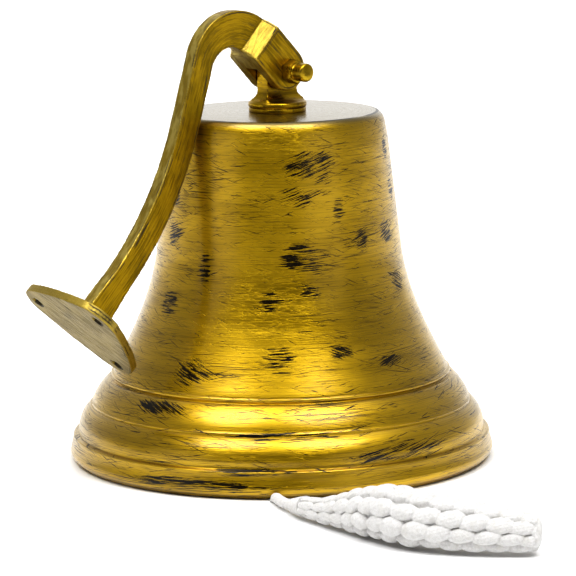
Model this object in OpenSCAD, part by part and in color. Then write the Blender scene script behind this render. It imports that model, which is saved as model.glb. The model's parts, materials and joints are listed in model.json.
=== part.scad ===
// Ship bell with a folding wall bracket, a pinned clapper and a cotton lanyard.
// Origin: centre of the mouth, on the surface the bell stands on. +Z is the bell's
// axis, the bracket folds down towards -X, and its hinge bolt lies along Y.

/* [Bell] */
// Height of the flat crown above the mouth
bell_h = 166; // [160:1:172]
// Largest radius, on the lip band
lip_r = 101.5; // [100.5:0.5:103]
// Thickness of the waist and crown casting
wall = 5; // [4.5:0.1:5.5]
// Diameter of the hole for the hanger stud
stud_hole_d = 10.4; // [10.2:0.1:11]

/* [Hanger] */
// Diameter of the flange that sits over the crown
flange_d = 27.8; // [26:0.1:29]
// Width of the tongue, in the plane of the bracket
tongue_w = 19; // [18:0.5:19.5]
// Thickness of the tongue
tongue_t = 7.2; // [6.8:0.1:7.4]
// Height of the hinge bolt above the crown
bolt_rise = 19.5; // [19:0.1:21]

/* [Bracket] */
// Thickness of the flat arm
arm_t = 7.2; // [7:0.1:7.6]
// Depth of the arm along its long leg
leg_depth = 11.8; // [11:0.1:11.8]
// Depth of the arm at the wall plate
foot_depth = 15; // [13:0.5:16]
// Radius of the clevis ears' round ends
ear_r = 10.2; // [9.8:0.1:10.4]
// Width over both clevis ears
clevis_w = 19; // [18.5:0.1:20]
// Radius of the arch, at mid depth
arch_r = 19.6; // [19.6:0.1:20]
// From the middle of the three-cornered wall plate to each corner
plate_reach = 33.6; // [32:0.1:36]
// Radius of the wall plate's corners
plate_corner_r = 12.7; // [11:0.1:13]
// Thickness of the wall plate
plate_t = 4; // [3.5:0.1:4.5]
// Angle by which the wall plate is skewed on the end of the arm
plate_skew = 5; // [0:0.5:6]
// Diameter of the circle of screw holes
screw_pcd = 54; // [52:0.5:55]
// Diameter of each screw hole
screw_hole_d = 5; // [4.5:0.1:5.5]

/* [Clapper] */
// Diameter of the ball
ball_d = 34; // [30:1:36]
// Height of the ball's centre above the mouth
ball_z = 36; // [34:1:40]
// Diameter of the rod
rod_d = 8; // [7:0.5:9]

/* [Hidden] */

eps = 0.01;
turn_fn = 120;         // smoothness of the turned parts

// Bell profile
rim_in_r = 94;         // inner edge of the flat rim
rim_out_r = 99;        // outer edge of the flat rim
lip_z = 5;             // height of the widest point
band_z = 12.6;         // top of the lip band
line_z = 27;           // the incised line between the two mouldings
bead_z = 41.5;         // the bead below the waist
bead_r = 1.1;
waist_z = 99;          // where the flare runs out into the straight waist
waist_r = 58.7;
crown_r = 47.9;        // edge of the flat crown
shoulder_r = 51.8;     // the waist just below the rounded shoulder
crown_t = 6;           // thickness of the crown
round_r = shoulder_r - crown_r;

// Hinge
bolt_z = bell_h + bolt_rise;
bolt_r = 3;            // M6
ear_shift = 1.5;       // the round end's centre, from the bolt towards the arm
running = 0.05;        // radial clearance of a running fit
slot_w = 8;            // gap between the ears
slot_reach = 12.5;     // depth of that gap past the bolt

// Arm path, as headings in degrees measured from +X towards +Z
tab_heading = 135;
tab_length = 22.3;
arch_turn = 117;
shank_length = 31;
bend_r = 167;
bend_turn = 27;
foot_length = 26.5;
foot_heading = tab_heading + arch_turn - bend_turn;
cheek_start = 20;      // where the ears begin to narrow, from the bolt
cheek_end = 26.3;      // where they meet the flat arm
tenon_d = 7;           // round end of the arm, brazed into the back of the wall plate
tenon_h = 2.6;
side_bow = 9.7;        // half the angle through which each side of the plate bows out

// Hanger
flange_h = 3;
root_r = 5.5;          // hollow where the tongue spreads into the flange

// Under the crown
stud_d = 10;
washer_t = 2;
washer_d = 24;
stud_washer_hole_d = stud_d + 0.4;
nut_h = 6;
nut_across = 16;
stud_end_z = 144;
eye_top_z = bell_h - crown_t - washer_t - nut_h;
eye_neck_z = 141;
pin_z = 131;           // the clapper's pivot
pin_r = 3;
eye_r = 7;             // round end of the blade that carries the pin
blade_t = 6;
fork_gap = 6.6;
fork_w = 12.6;
fork_r = 6.5;          // round end of the fork
tail_z = 10.5;         // centre of the tail eye
tail_eye_r = 6;
tail_eye_t = 6;
tail_hole_r = 2.9;

// Lanyard
cord_r = 2.5;
neck_route = [[0, -3.4, 10.5], [0, -5, 10.5], [-1.5, -11, 9], [-6, -20, 5.5], [-14, -28, 3],
    [-25, -36, 2.6], [-37, -45, 2.6], [-49, -54, 2.6], [-59, -62, 2.6], [-68, -70.5, 2.6],
    [-74.5, -79.5, 2.6], [-79, -89, 2.8], [-82, -98.5, 3.6]];
whip_mid = [-83.7, -104.5, 4.5];
whip_radii = [3, 3.9, 4.8];
body_route = [[-85.2, -110.5, 5.4], [-86, -120, 5.9], [-86.8, -131, 7.2], [-87.3, -142, 9.1],
    [-87.8, -153, 11.1], [-88.4, -164, 12.6], [-88.3, -174.5, 13.1], [-87, -184, 12.9],
    [-84.3, -192.3, 12.5], [-80.6, -200, 12], [-76.3, -207.2, 11.4], [-71.3, -214, 10.7],
    [-65.6, -220.5, 9.8], [-59.5, -226.7, 8.8]];
end_reach = [2.6, -2.6, -0.2];
thin_r = 4.8;          // radius of the braid where it starts
full_r = 12.6;         // and where it is fullest, at half its length
end_r = 8;             // and where it ends

// ---- Helpers -------------------------------------------------------------------

function dir(a) = [cos(a), sin(a)];

function bezier(a, b, c, d, n) = [for (i = [0 : n]) let (t = i / n, s = 1 - t)
    s * s * s * a + 3 * s * s * t * b + 3 * s * t * t * c + t * t * t * d];

// Points on a circle about c, from angle a0 to a1
function arc(c, r, a0, a1, n) = [for (i = [0 : n]) c + r * dir(a0 + (a1 - a0) * i / n)];

// A curve from a to b that bulges by h to the right of the way it runs
function bulge(a, b, h, n) = let (v = (b - a) / norm(b - a), out = [v[1], -v[0]])
    [for (i = [0 : n]) let (t = i / n) a + (b - a) * t + out * h * 4 * t * (1 - t)];

function unit(v) = v / norm(v);

// One ring of a tube about point i of a route
function ring(route, i, r, sides) = let (
    last = len(route) - 1,
    along = unit(route[min(i + 1, last)] - route[max(i - 1, 0)]),
    side = unit(cross(along, [0, 0, 1])),
    up = cross(side, along))
    [for (k = [0 : sides - 1]) let (a = 360 * (k + 0.5) / sides)
        route[i] + r * (cos(a) * side + sin(a) * up)];

// A closed tube along a route, with one radius for each of its points
module tube(route, radii, sides) {
    last = len(route) - 1;
    points = [for (i = [0 : last]) each ring(route, i, radii[i], sides)];
    walls = [for (i = [0 : last - 1], k = [0 : sides - 1]) let (a = i * sides, b = (k + 1) % sides)
        [a + k, a + b, a + sides + b, a + sides + k]];
    polyhedron(points, concat(walls, [[for (k = [sides - 1 : -1 : 0]) k],
        [for (k = [0 : sides - 1]) last * sides + k]]), convexity = 4);
}

// Draws a plane shape given in X and Z as a plate of thickness t centred on Y = 0
module plate_xz(t) {
    rotate([90, 0, 0]) translate([0, 0, -t / 2]) linear_extrude(t) children();
}

// A cylinder along Y, centred on Y = 0, at the given X and Z
module pin_y(x, z, r, length, fn = 64) {
    translate([x, 0, z]) rotate([90, 0, 0]) cylinder(h = length, r = r, center = true, $fn = fn);
}

// ---- Bell ----------------------------------------------------------------------

flare_out = bezier([80, bead_z + 1.6], [68.2, 65.5], [61.8, 80], [waist_r, waist_z], 14);
flare_in = bezier([74, bead_z + 1.6], [62.9, 64], [56.7, 80], [waist_r - wall, waist_z], 14);

outer_profile = concat(
    [[rim_out_r, 0]],
    arc([lip_r - 4, lip_z - 0.5], 4, -50, 20, 5),
    [[99.9, band_z - 1], [99.2, band_z], [97.6, band_z + 0.6]],
    bulge([97.4, band_z + 1.2], [91.6, line_z - 0.5], 1.6, 8),
    [[90.7, line_z], [90.9, line_z + 0.8]],
    bulge([90.6, line_z + 1], [82.3, bead_z - 1.6], 0.9, 6),
    [[81, bead_z - 1.1]],
    arc([80.3, bead_z], bead_r, -55, 60, 5),
    flare_out,
    arc([crown_r, bell_h - round_r], round_r, 6, 90, 9));

inner_profile = concat(
    [[rim_in_r, 0], [91.5, 6], [90, band_z], [84.4, line_z]],
    flare_in,
    arc([crown_r - wall, bell_h - crown_t - round_r], round_r, 6, 90, 6));

module bell_shell() {
    color([0.72, 0.58, 0.16]) rotate_extrude($fn = turn_fn)
        polygon(concat(outer_profile, [[stud_hole_d / 2, bell_h],
            [stud_hole_d / 2, bell_h - crown_t]],
            [for (i = [len(inner_profile) - 1 : -1 : 0]) inner_profile[i]]));
}

// ---- Hanger --------------------------------------------------------------------

washer_top = bell_h + washer_t;
flange_top = washer_top + flange_h;

module crown_washer() {
    color([0.70, 0.55, 0.15]) translate([0, 0, bell_h]) difference() {
        cylinder(h = washer_t, d = flange_d - 0.6, $fn = turn_fn);
        translate([0, 0, -1]) cylinder(h = washer_t + 2, d = stud_washer_hole_d, $fn = 48);
    }
}

// Outline in X and Z of a shank that spreads hollowly on to the flange from a half width
module spreading(half) {
    rise = flange_top + root_r;
    polygon(concat(
        arc([half + root_r, rise], root_r, 270, 180, 10),
        arc([-half - root_r, rise], root_r, 0, -90, 10)));
}

// Flange and round-topped tongue with a hollow root on all four sides, and the stud below
module crown_hanger() {
    edge = flange_d / 2;
    stud_in = 1;
    color([0.72, 0.58, 0.16]) difference() {
        union() {
            translate([0, 0, washer_top]) rotate_extrude($fn = turn_fn) polygon([[0, 0],
                [edge - 0.6, 0], [edge, 0.6], [edge, flange_h - 0.7], [edge - 0.7, flange_h],
                [0, flange_h]]);
            intersection() {
                plate_xz(flange_d) spreading(tongue_w / 2);
                rotate(90) plate_xz(flange_d) spreading(tongue_t / 2);
                translate([0, 0, flange_top - 1]) cylinder(h = 2 * root_r, r = edge - 1, $fn = turn_fn);
            }
            plate_xz(tongue_t) {
                translate([-tongue_w / 2, flange_top - 1])
                    square([tongue_w, bolt_z - flange_top + 1]);
                translate([0, bolt_z]) circle(d = tongue_w, $fn = 96);
            }
            translate([0, 0, stud_end_z])
                cylinder(h = washer_top - stud_end_z + stud_in, d = stud_d, $fn = 48);
        }
        pin_y(0, bolt_z, bolt_r + running, 20);
    }
}

module inner_washer() {
    color([0.70, 0.55, 0.15]) translate([0, 0, bell_h - crown_t - washer_t]) difference() {
        cylinder(h = washer_t, d = washer_d, $fn = 72);
        translate([0, 0, -1]) cylinder(h = washer_t + 2, d = stud_washer_hole_d, $fn = 48);
    }
}

// A hexagon nut with its top and bottom corners turned off
module hex_nut(across, h, bore_r) {
    difference() {
        intersection() {
            cylinder(h = h, d = across / cos(30), $fn = 6);
            rotate_extrude($fn = 60) polygon([[0, 0], [across / 2, 0], [across / 2 + 0.9, 0.6],
                [across / 2 + 0.9, h - 0.6], [across / 2, h], [0, h]]);
        }
        translate([0, 0, -1]) cylinder(h = h + 2, r = bore_r, $fn = 48);
    }
}

module hanger_nut() {
    color([0.68, 0.54, 0.18]) translate([0, 0, eye_top_z]) hex_nut(nut_across, nut_h, stud_d / 2);
}

// Screws on to the end of the stud and carries the clapper's pin
module clapper_eye() {
    color([0.66, 0.52, 0.17]) difference() {
        union() {
            translate([0, 0, eye_neck_z])
                cylinder(h = eye_top_z - eye_neck_z, d = nut_across, $fn = 72);
            plate_xz(blade_t) union() {
                translate([-eye_r, pin_z]) square([2 * eye_r, eye_neck_z - pin_z + 1]);
                translate([0, pin_z]) circle(r = eye_r, $fn = 72);
            }
        }
        pin_y(0, pin_z, pin_r + running, 20);
        translate([0, 0, stud_end_z - 0.5]) cylinder(h = 20, d = stud_d, $fn = 48);
    }
}

// ---- Bracket -------------------------------------------------------------------

ear_c = [0, bolt_z] + ear_shift * dir(tab_heading);
tab_end = [0, bolt_z] + tab_length * dir(tab_heading);
arch_c = tab_end + arch_r * dir(tab_heading + 90);
shank_heading = tab_heading + arch_turn;
shank_start = arch_c + arch_r * dir(shank_heading - 90);
shank_end = shank_start + shank_length * dir(shank_heading);
bend_c = shank_end + bend_r * dir(shank_heading - 90);
foot_start = bend_c + bend_r * dir(foot_heading + 90);
foot_end = foot_start + foot_length * dir(foot_heading);

// The arm's centreline: each entry is [place, heading, depth of the arm there]
arch_steps = 24;
bend_steps = 10;
foot_spare = 2;        // cut off again along the back of the skewed wall plate
arm_path = concat(
    [[ear_c, tab_heading, 2 * ear_r]],
    [for (i = [0 : arch_steps]) let (t = i / arch_steps, h = tab_heading + arch_turn * t)
        [arch_c + arch_r * dir(h - 90), h, 2 * ear_r + (leg_depth - 2 * ear_r) * t]],
    [for (i = [0 : bend_steps]) let (t = i / bend_steps, h = shank_heading - bend_turn * t)
        [bend_c + bend_r * dir(h + 90), h, leg_depth]],
    [[foot_end + foot_spare * dir(foot_heading), foot_heading, foot_depth]]);

module arm_outline() {
    last = len(arm_path) - 1;
    polygon(concat(
        [for (p = arm_path) p[0] + p[2] / 2 * dir(p[1] - 90)],
        [for (i = [last : -1 : 0]) let (p = arm_path[i]) p[0] + p[2] / 2 * dir(p[1] + 90)],
        arc(ear_c, ear_r, tab_heading + 96, tab_heading + 264, 28)));
}

// Moves its children to the bolt, with X running up the tab
module at_tab() {
    translate([0, 0, bolt_z]) rotate([0, -tab_heading, 0]) children();
}

// Moves its children to the back of the wall plate, with Z pointing out towards the wall
module at_plate() {
    translate([foot_end[0], 0, foot_end[1]]) rotate([0, 90 - foot_heading, 0])
        rotate([-plate_skew, 0, 0]) children();
}

// What is cut from both sides of the clevis-wide blank to leave the thin flat arm
module arm_sides() {
    ramp = [cheek_end - cheek_start, (clevis_w - arm_t) / 2];
    for (m = [0, 1]) mirror([0, m, 0]) at_tab() {
        translate([0, 0, -40]) linear_extrude(80) polygon([
            [cheek_end, arm_t / 2], [cheek_end, arm_t / 2] + 2 * [-ramp[0], ramp[1]],
            [200, arm_t / 2 + 2 * ramp[1]], [200, arm_t / 2]]);
        translate([-200, arm_t / 2, 15]) cube([400, 20, 200]);
    }
}

module bracket_arm() {
    color([0.66, 0.52, 0.14]) {
        difference() {
            plate_xz(clevis_w) arm_outline();
            arm_sides();
            at_tab() translate([-20, -slot_w / 2, -20]) cube([20 + slot_reach, slot_w, 40]);
            pin_y(0, bolt_z, bolt_r + running, 40);
            at_plate() translate([-20, -20, 0]) cube([40, 40, 20]);
        }
        at_plate() translate([0, 0, -1]) cylinder(h = tenon_h + 1, d = tenon_d, $fn = 48);
    }
}

// A triangle with round corners and sides that bow out a little
module plate_outline() {
    corner_c = plate_reach - plate_corner_r;
    side_r = corner_c * sin(60) / sin(side_bow);
    side_in = side_r * cos(side_bow) - corner_c * cos(60);
    steps = 8;
    polygon([for (a = [60, 180, 300]) each concat(
        arc(corner_c * dir(a), plate_corner_r, a - 60 + side_bow, a + 60 - side_bow, 12),
        [for (i = [1 : steps - 1]) (side_r + plate_corner_r)
            * dir(a + 60 + side_bow * (2 * i / steps - 1)) - side_in * dir(a + 60)])]);
}

module wall_plate() {
    color([0.74, 0.64, 0.30]) at_plate() difference() {
        linear_extrude(plate_t) plate_outline();
        translate([0, 0, -1]) cylinder(h = tenon_h + 1.2, d = tenon_d, $fn = 48);
        for (a = [60, 180, 300]) rotate(a) translate([screw_pcd / 2, 0, -1])
            cylinder(h = plate_t + 2, d = screw_hole_d, $fn = 48);
    }
}

module hinge_bolt() {
    head_h = 4;
    color([0.62, 0.50, 0.20]) {
        translate([0, 0, bolt_z]) rotate([90, 0, 0])
            translate([0, 0, -clevis_w / 2]) cylinder(h = clevis_w + 8, r = bolt_r, $fn = 64);
        translate([0, clevis_w / 2 + head_h, bolt_z]) rotate([90, 0, 0]) hex_nut(10, head_h, eps);
    }
}

// Hexagon below, then a short neck and a round cap over the bolt's end
module cap_nut() {
    hex_h = 5.2;
    color([0.68, 0.54, 0.18]) translate([0, -clevis_w / 2, bolt_z]) rotate([90, 0, 0])
    difference() {
        union() {
            rotate(30) hex_nut(10, hex_h, eps);
            translate([0, 0, hex_h - eps]) rotate_extrude($fn = 72) polygon(concat(
                [[0, 0], [4.1, 0], [3.9, 0.4], [3.9, 0.9]],
                arc([3.3, 2.1], 1.1, -60, 0, 3),
                arc([3.2, 5.7], 1.2, 0, 75, 5),
                [[0, 7]]));
        }
        translate([0, 0, -1]) cylinder(h = 9.3, r = bolt_r, $fn = 64);
    }
}

// ---- Clapper -------------------------------------------------------------------

module clapper_rod() {
    fork_base_z = pin_z - 9;
    color([0.60, 0.48, 0.18]) difference() {
        union() {
            plate_xz(fork_w) union() {
                translate([-fork_r, fork_base_z - 5])
                    square([2 * fork_r, pin_z - fork_base_z + 5]);
                translate([0, pin_z]) circle(r = fork_r, $fn = 72);
            }
            translate([0, 0, fork_base_z - 9]) cylinder(h = 6, r1 = rod_d / 2, r2 = 6.2, $fn = 48);
            translate([0, 0, tail_z + 3]) cylinder(h = fork_base_z - tail_z - 8, d = rod_d, $fn = 48);
            plate_xz(tail_eye_t) translate([0, tail_z]) circle(r = tail_eye_r, $fn = 64);
        }
        translate([-10, -fork_gap / 2, fork_base_z]) cube([20, fork_gap, 20]);
        pin_y(0, pin_z, pin_r, 20);
        pin_y(0, tail_z, tail_hole_r, 20, 48);
    }
}

module clapper_ball() {
    color([0.64, 0.50, 0.16]) difference() {
        translate([0, 0, ball_z]) rotate_extrude($fn = 96) polygon(concat(
            arc([0, 0], ball_d / 2, -78, 78, 30), [[0, 16.6], [0, -16.6]]));
        translate([0, 0, ball_z - 20]) cylinder(h = 40, d = rod_d, $fn = 48);
    }
}

module clapper_pin() {
    color([0.58, 0.48, 0.20]) translate([0, 0, pin_z]) rotate([90, 0, 0])
    rotate_extrude($fn = 64) polygon([[0, -8.3], [3.6, -8.3], [4.4, -7.6], [4.4, -fork_w / 2],
        [pin_r, -fork_w / 2], [pin_r, fork_w / 2], [3.8, fork_w / 2], [3.4, 7.6], [0, 7.9]]);
}

// ---- Lanyard -------------------------------------------------------------------

// The stopper knot behind the clapper's tail eye, and the cord inside the eye
module tail_knot() {
    color([0.93, 0.92, 0.88]) translate([0, 0, tail_z]) rotate([90, 0, 0])
    rotate_extrude($fn = 32) polygon(concat([[0, -12]], arc([0, -7.6], 4.4, -80, 75, 8),
        [[cord_r, -3.2], [cord_r, 3.2], [0, 3.2]]));
}

module lanyard_neck() {
    color([0.93, 0.92, 0.88]) tube(neck_route, [for (p = neck_route) cord_r], 8);
}

module lanyard_whipping() {
    color([0.90, 0.89, 0.85])
        tube([neck_route[len(neck_route) - 1], whip_mid, body_route[0]], whip_radii, 10);
}

// Radius of the braid at a share t of its length
function braid_r(t) = let (rise = min(1, 2 * t), fall = max(0, 2 * t - 1))
    thin_r + (full_r - thin_r) * rise * rise * (3 - 2 * rise) - (full_r - end_r) * pow(fall, 1.6);

module lanyard_body() {
    last = len(body_route) - 1;
    color([0.94, 0.93, 0.90]) tube(body_route, [for (i = [0 : last]) braid_r(i / last)], 12);
}

module lanyard_end_knot() {
    end = body_route[len(body_route) - 1];
    color([0.92, 0.91, 0.87]) tube([end, end + end_reach], [end_r, end_r - 2], 12);
}

bell_shell();
crown_washer();
crown_hanger();
inner_washer();
hanger_nut();
clapper_eye();
bracket_arm();
wall_plate();
hinge_bolt();
cap_nut();
clapper_rod();
clapper_ball();
clapper_pin();
tail_knot();
lanyard_neck();
lanyard_whipping();
lanyard_body();
lanyard_end_knot();
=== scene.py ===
"""Ship bell standing on its mouth, with its wall bracket folded down and its cotton lanyard laid out.

Lengths are in metres in the frame of the CAD model: the origin is the centre of the mouth, +Z
is the bell's axis, the bracket folds towards -X and its bolt lies along Y.
"""

import json
import math

import bmesh
import bpy
import numpy as np
from mathutils import Matrix, Vector, noise


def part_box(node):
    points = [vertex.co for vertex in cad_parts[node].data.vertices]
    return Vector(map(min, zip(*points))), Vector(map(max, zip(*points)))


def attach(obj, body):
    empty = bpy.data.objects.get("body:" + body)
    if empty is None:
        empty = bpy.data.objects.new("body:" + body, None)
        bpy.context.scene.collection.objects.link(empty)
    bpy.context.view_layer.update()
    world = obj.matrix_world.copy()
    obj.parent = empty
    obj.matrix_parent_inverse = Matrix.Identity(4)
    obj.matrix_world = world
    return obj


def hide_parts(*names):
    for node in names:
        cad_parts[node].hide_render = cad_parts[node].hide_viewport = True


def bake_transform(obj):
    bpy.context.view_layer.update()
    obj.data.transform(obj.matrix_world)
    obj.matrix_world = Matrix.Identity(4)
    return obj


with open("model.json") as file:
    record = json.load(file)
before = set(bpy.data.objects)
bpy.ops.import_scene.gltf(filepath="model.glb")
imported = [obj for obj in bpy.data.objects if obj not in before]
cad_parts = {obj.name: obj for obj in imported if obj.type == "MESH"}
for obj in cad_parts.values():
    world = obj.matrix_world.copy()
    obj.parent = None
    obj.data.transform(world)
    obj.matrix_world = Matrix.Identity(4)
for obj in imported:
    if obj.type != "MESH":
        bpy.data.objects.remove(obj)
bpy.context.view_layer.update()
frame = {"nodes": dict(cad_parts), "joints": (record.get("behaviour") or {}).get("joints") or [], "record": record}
nodes = frame["nodes"]
joints = {j["name"]: j for j in frame["joints"]}
MM = 0.001
SLOTS = {s["node"]: s["material_slot"] for s in frame["record"]["subparts"]}

# ---- Camera and light ------------------------------------------------------------

VIEW_AZIMUTH = -42.0       # degrees, the side that the picture is taken from
BACK = Vector((math.sin(math.radians(VIEW_AZIMUTH)), -math.cos(math.radians(VIEW_AZIMUTH)), 0))
RIGHT = Vector((math.cos(math.radians(VIEW_AZIMUTH)), math.sin(math.radians(VIEW_AZIMUTH)), 0))


def make_camera():
    distance, height, aside = 1.64, 0.355, 0.004
    pitch, roll = math.radians(9.5), math.radians(0.7)
    data = bpy.data.cameras.new("camera")
    data.lens, data.sensor_width = 216.9, 36.0
    data.clip_start, data.clip_end = 0.1, 30.0
    camera = bpy.data.objects.new("camera", data)
    bpy.context.scene.collection.objects.link(camera)
    ahead = -BACK * math.cos(pitch) - Vector((0, 0, math.sin(pitch)))
    up = RIGHT.cross(ahead)
    side = RIGHT * math.cos(roll) - up * math.sin(roll)
    rise = up * math.cos(roll) + RIGHT * math.sin(roll)
    place = BACK * distance + RIGHT * aside + Vector((0, 0, height))
    camera.matrix_world = Matrix((side, rise, -ahead)).transposed().to_4x4()
    camera.location = place
    bpy.context.scene.camera = camera


def bearing_of(bearing, elevation):
    """Direction at a bearing in degrees to the right of the camera, seen from the bell."""
    a, e = math.radians(bearing), math.radians(elevation)
    return (BACK * math.cos(a) + RIGHT * math.sin(a)) * math.cos(e) + Vector((0, 0, math.sin(e)))


# Softboxes of the studio: bearing, elevation, inner and outer radius in degrees, and strength.
# The first two light the shoulders of the bell, the third its crown, the last two its edges.
SOFTBOXES = [(-46, 59, 5, 21, 7.2), (36, 60, 5, 22, 6.4), (0, 86, 15, 44, 1.0),
             (-60, 4, 8, 26, 0.55), (44, 4, 8, 26, 0.48)]
# Brightness of the surroundings, by the cosine of the angle to the camera's side.
SURROUND = [(-1.0, 1.1), (-0.92, 0.95), (-0.65, 0.46), (-0.2, 0.34), (0.4, 0.24), (0.98, 0.03)]


def make_world():
    """Soft studio surroundings: dim towards the camera, bright behind, with softboxes in front."""
    world = bpy.data.worlds.new("studio")
    bpy.context.scene.world = world
    world.use_nodes = True
    tree = world.node_tree
    back = tree.nodes["Background"]

    def node(kind, **settings):
        made = tree.nodes.new(kind)
        for key, value in settings.items():
            setattr(made, key, value)
        return made

    coords = node("ShaderNodeTexCoord").outputs["Generated"]

    def towards(direction):
        dot = node("ShaderNodeVectorMath", operation="DOT_PRODUCT")
        dot.inputs[1].default_value = direction
        tree.links.new(coords, dot.inputs[0])
        return dot.outputs["Value"]

    ramp = node("ShaderNodeValToRGB")
    ramp.color_ramp.interpolation = "EASE"
    elements = ramp.color_ramp.elements
    while len(elements) < len(SURROUND):
        elements.new(0.5)
    for element, (facing, value) in zip(elements, SURROUND):
        element.position = (facing + 1) / 2
        element.color = (value, value, value, 1)
    half = node("ShaderNodeMath", operation="MULTIPLY_ADD")
    half.inputs[1].default_value, half.inputs[2].default_value = 0.5, 0.5
    tree.links.new(towards(BACK), half.inputs[0])
    tree.links.new(half.outputs[0], ramp.inputs[0])
    total = ramp.outputs[0]
    for bearing, elevation, inner, outer, strength in SOFTBOXES:
        lobe = node("ShaderNodeMapRange", interpolation_type="SMOOTHSTEP")
        lobe.inputs["From Min"].default_value = math.cos(math.radians(outer))
        lobe.inputs["From Max"].default_value = math.cos(math.radians(inner))
        lobe.inputs["To Max"].default_value = strength
        tree.links.new(towards(bearing_of(bearing, elevation)), lobe.inputs["Value"])
        add = node("ShaderNodeMath", operation="ADD")
        tree.links.new(total, add.inputs[0])
        tree.links.new(lobe.outputs[0], add.inputs[1])
        total = add.outputs[0]
    tree.links.new(total, back.inputs["Color"])


TABLE_Z = -0.0007          # the bell stands on its cord, pressed flat under the rim
TABLE_HALF = 8.0           # so wide that its edge stays out of every view


def make_floor():
    mesh = bpy.data.meshes.new("table_top")
    corners = [(BACK * b + RIGHT * r) * TABLE_HALF for b, r in ((1, -1), (1, 1), (-1, 1), (-1, -1))]
    mesh.from_pydata(corners, [], [(0, 1, 2, 3)])
    floor = bpy.data.objects.new("table_top", mesh)
    bpy.context.scene.collection.objects.link(floor)
    floor.location.z = TABLE_Z
    paint = bpy.data.materials.new("table_paint")
    paint.use_nodes = True
    shader = paint.node_tree.nodes["Principled BSDF"]
    shader.inputs["Base Color"].default_value = (0.93, 0.93, 0.93, 1)
    shader.inputs["Roughness"].default_value = 0.6
    shader.inputs["Specular IOR Level"].default_value = 0.3
    mesh.materials.append(paint)


make_camera()
make_world()
make_floor()
bpy.context.scene.view_settings.view_transform = "Standard"
bpy.context.scene.view_settings.look = "Medium High Contrast"

# ---- Node graphs for materials -----------------------------------------------------


class Graph:
    """A material's node tree, with short calls for the nodes that the materials below use."""

    def __init__(self, name):
        self.material = bpy.data.materials.new(name)
        self.material.use_nodes = True
        self.tree = self.material.node_tree
        self.shader = self.tree.nodes["Principled BSDF"]

    def add(self, kind, inputs=(), out=0, **settings):
        node = self.tree.nodes.new(kind)
        for key, value in settings.items():
            setattr(node, key, value)
        for key, value in dict(inputs).items():
            self.put(node.inputs[key], value)
        return node.outputs[out]

    def put(self, socket, value):
        if isinstance(value, bpy.types.NodeSocket):
            self.tree.links.new(value, socket)
        else:
            socket.default_value = value

    def set(self, **values):
        for key, value in values.items():
            self.put(self.shader.inputs[key.replace("_", " ")], value)

    def math(self, operation, a, b=0.0, c=0.0):
        return self.add("ShaderNodeMath", {0: a, 1: b, 2: c}, operation=operation)

    def vector(self, x=0.0, y=0.0, z=0.0):
        return self.add("ShaderNodeCombineXYZ", {0: x, 1: y, 2: z})

    def split(self, vector):
        node = self.tree.nodes.new("ShaderNodeSeparateXYZ")
        self.put(node.inputs[0], vector)
        return node.outputs

    def noise(self, vector, scale=1.0, detail=2.0, roughness=0.5, distortion=0.0):
        return self.add("ShaderNodeTexNoise", {"Vector": vector, "Scale": scale, "Detail": detail,
                        "Roughness": roughness, "Distortion": distortion})

    def ease(self, value, low, high, to_low=0.0, to_high=1.0):
        """value mapped smoothly from low..high to to_low..to_high."""
        return self.add("ShaderNodeMapRange", {"Value": value, "From Min": low, "From Max": high,
                        "To Min": to_low, "To Max": to_high}, interpolation_type="SMOOTHSTEP")

    def mix(self, amount, a, b):
        """Colour a where amount is 0 and colour b where it is 1."""
        return self.add("ShaderNodeMix", {0: amount, 6: a, 7: b}, out=2, data_type="RGBA")

    def bump(self, height, strength, distance):
        return self.add("ShaderNodeBump", {"Height": height, "Strength": strength, "Distance": distance})

    def place(self):
        return self.add("ShaderNodeTexCoord", out="Object")

    def attribute(self, name):
        return self.add("ShaderNodeAttribute", out="Vector", attribute_name=name)


def rgb(red, green, blue):
    return (red, green, blue, 1.0)


# Black of the real scuffs, spots and filing streaks, also used for painted shade in corners, in the wall plate's
# holes and along the crown's edge.
BLACK_PATINA_AND_SHADE = rgb(0.012, 0.008, 0.003)

# Patches of scuffs on the bell: bearing in degrees to the right of the front, height, half
# length and half height in millimetres, and which way the strokes run.
SCUFF_PATCHES = [
    (16, 146, 22, 9, "rising"), (10, 132, 14, 6, "rising"), (30, 125, 5, 7, "flat"),
    (10, 104, 16, 10, "flat"), (42, 110, 7, 7, "rising"), (62, 112, 9, 7, "rising"),
    (-3, 84, 10, 6, "flat"), (14, 88, 8, 4, "flat"), (-58, 112, 9, 8, "rising"),
    (-55, 80, 9, 8, "flat"), (-36, 98, 5, 9, "flat"), (0, 60, 9, 9, "flat"),
    (24, 61, 8, 4, "falling"), (-33, 52, 12, 8, "falling"), (72, 150, 6, 8, "flat"),
    (74, 130, 6, 8, "flat"), (66, 88, 9, 6, "falling"), (-60, 130, 6, 8, "rising"),
    (-40, 36, 16, 4, "falling"), (0, 27, 26, 2.5, "flat"), (-24, 6, 30, 4, "flat"),
    (-8, 12, 22, 2, "flat"), (34, 17, 20, 5, "rising"), (44, 55, 10, 4, "rising"),
    (120, 118, 12, 8, "flat"), (150, 80, 14, 9, "rising"), (-110, 100, 12, 9, "falling"),
    (-150, 135, 10, 7, "flat"), (-130, 50, 16, 8, "flat"), (105, 48, 14, 7, "falling"),
]
CROWN_Z, CROWN_EDGE_R = 0.166, 0.0474          # the flat top of the bell and where it ends
WALL_MEAN_R = 0.066                            # turns a bearing into a length round the wall
SLOPES = {"rising": 0.30, "flat": 0.03, "falling": -0.42}


def round_the_axis(g):
    """(way round, height) on the bell in metres, counted from the front; the seam is at the back."""
    place = g.place()
    ahead = g.add("ShaderNodeVectorMath", {0: place, 1: BACK}, out="Value", operation="DOT_PRODUCT")
    side = g.add("ShaderNodeVectorMath", {0: place, 1: RIGHT}, out="Value", operation="DOT_PRODUCT")
    bearing = g.math("ARCTAN2", side, ahead)
    return bearing, g.split(place)[2]


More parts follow.
